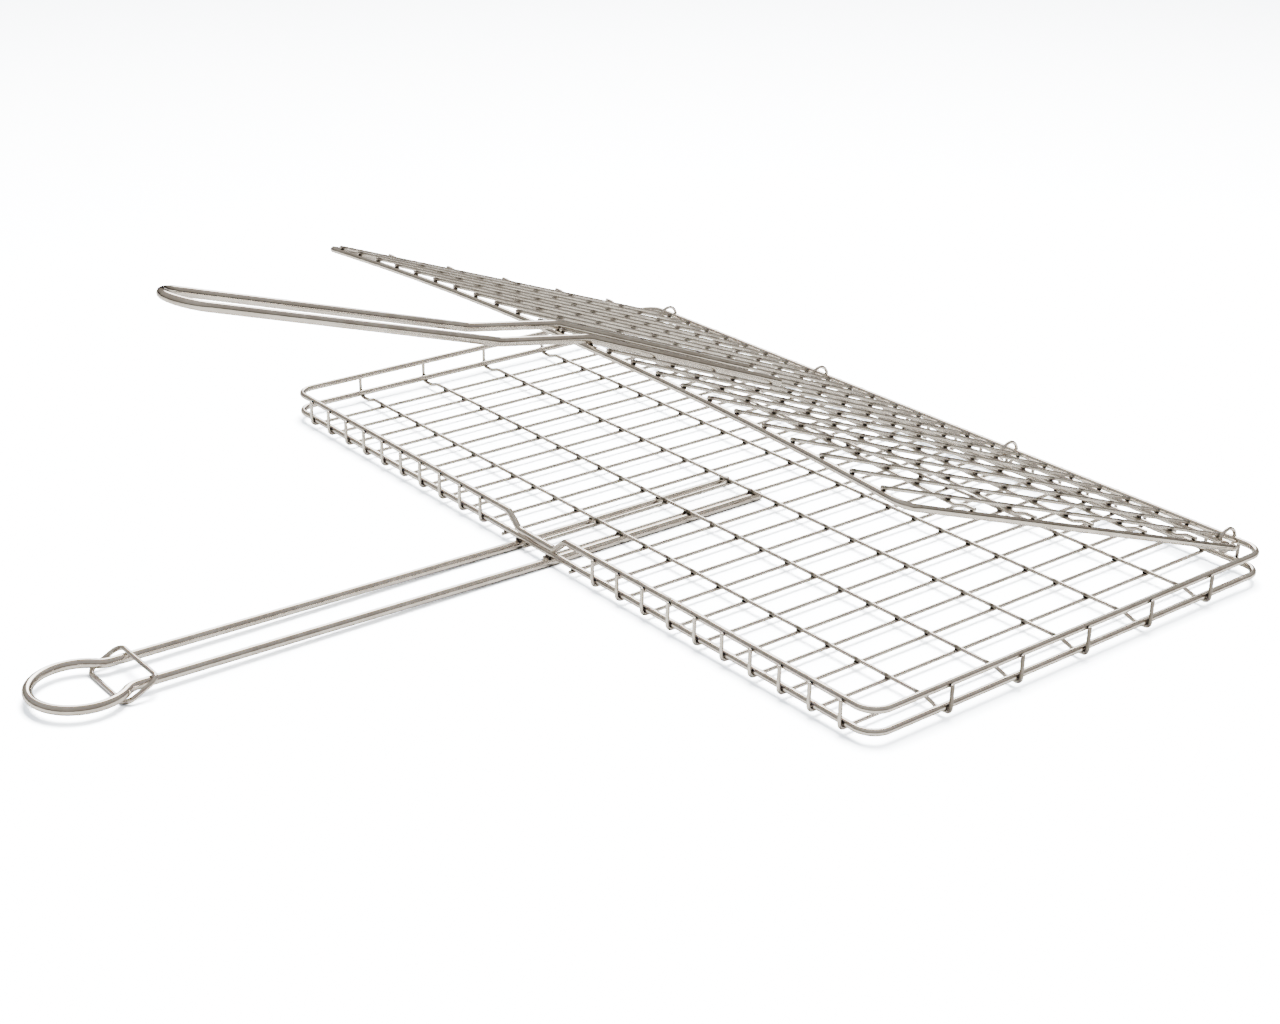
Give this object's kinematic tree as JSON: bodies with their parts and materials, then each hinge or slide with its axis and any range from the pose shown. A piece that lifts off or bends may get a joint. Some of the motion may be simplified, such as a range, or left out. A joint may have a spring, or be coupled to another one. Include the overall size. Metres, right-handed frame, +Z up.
{
  "type": "folding grill basket",
  "caption": "Folding wire grill basket: shallow rectangular wire basket, hinged wire lid on ring hinges, long twin-rod handles, round hanging eye and sliding ring clip.",
  "frame": {"origin": "on the table, in the middle of the whole grill's outline seen from above", "axes": "+X to the right seen from the grip, +Y from the grip towards the hinges, +Z up"},
  "size_m": [0.6346, 0.7033, 0.2276],
  "materials": {
    "frame_rod": "bright plated steel rod",
    "mesh_wire": "bright plated steel wire, a dark spot at each weld",
    "handle_rod": "bright plated steel rod, smooth",
    "ring_wire": "bright plated steel wire"
  },
  "bodies": {
    "basket": {"lower_rim": "frame_rod", "upper_rim": "frame_rod", "basket_cross_wire_01": "mesh_wire", "basket_cross_wire_02": "mesh_wire", "basket_cross_wire_03": "mesh_wire", "basket_cross_wire_04": "mesh_wire", "basket_cross_wire_05": "mesh_wire", "basket_cross_wire_06": "mesh_wire", "basket_cross_wire_07": "mesh_wire", "basket_cross_wire_08": "mesh_wire", "basket_cross_wire_09": "mesh_wire", "basket_cross_wire_10": "mesh_wire", "basket_cross_wire_11": "mesh_wire", "basket_cross_wire_12": "mesh_wire", "basket_cross_wire_13": "mesh_wire", "basket_cross_wire_14": "mesh_wire", "basket_cross_wire_15": "mesh_wire", "basket_cross_wire_16": "mesh_wire", "basket_cross_wire_17": "mesh_wire", "basket_cross_wire_18": "mesh_wire", "basket_cross_wire_19": "mesh_wire", "basket_cross_wire_20": "mesh_wire", "basket_cross_wire_21": "mesh_wire", "basket_cross_wire_22": "mesh_wire", "basket_cross_wire_23": "mesh_wire", "basket_cross_wire_24": "mesh_wire", "basket_long_wire_1": "mesh_wire", "basket_long_wire_2": "mesh_wire", "basket_long_wire_3": "mesh_wire", "basket_long_wire_4": "mesh_wire", "basket_long_wire_5": "mesh_wire", "basket_handle": "handle_rod"},
    "lid": {"lid_frame": "frame_rod", "lid_cross_wires_01": "mesh_wire", "lid_cross_wires_02": "mesh_wire", "lid_cross_wires_03": "mesh_wire", "lid_cross_wires_04": "mesh_wire", "lid_cross_wires_05": "mesh_wire", "lid_cross_wires_06": "mesh_wire", "lid_cross_wires_07": "mesh_wire", "lid_cross_wires_08": "mesh_wire", "lid_cross_wires_09": "mesh_wire", "lid_cross_wires_10": "mesh_wire", "lid_cross_wires_11": "mesh_wire", "lid_cross_wires_12": "mesh_wire", "lid_long_wire_1": "mesh_wire", "lid_long_wire_2": "mesh_wire", "lid_long_wire_3": "mesh_wire", "lid_long_wire_4": "mesh_wire", "lid_long_wire_5": "mesh_wire", "lid_handle": "handle_rod", "hinge_ring_1": "ring_wire", "hinge_ring_2": "ring_wire", "hinge_ring_3": "ring_wire", "hinge_ring_4": "ring_wire"},
    "clip": {"clip_ring": "ring_wire"}
  },
  "joints": [
    {"name": "lid_opening", "type": "hinge", "parent": "basket", "child": "lid", "pos_m": [0, 0.34665, 0.02229], "axis": [-1, 0, 0], "range_deg": [-18.6, 150]},
    {"name": "clip_slide", "type": "slide", "parent": "basket", "child": "clip", "axis": [0, 1, 0], "range_m": [0, 0.075]}
  ]
}
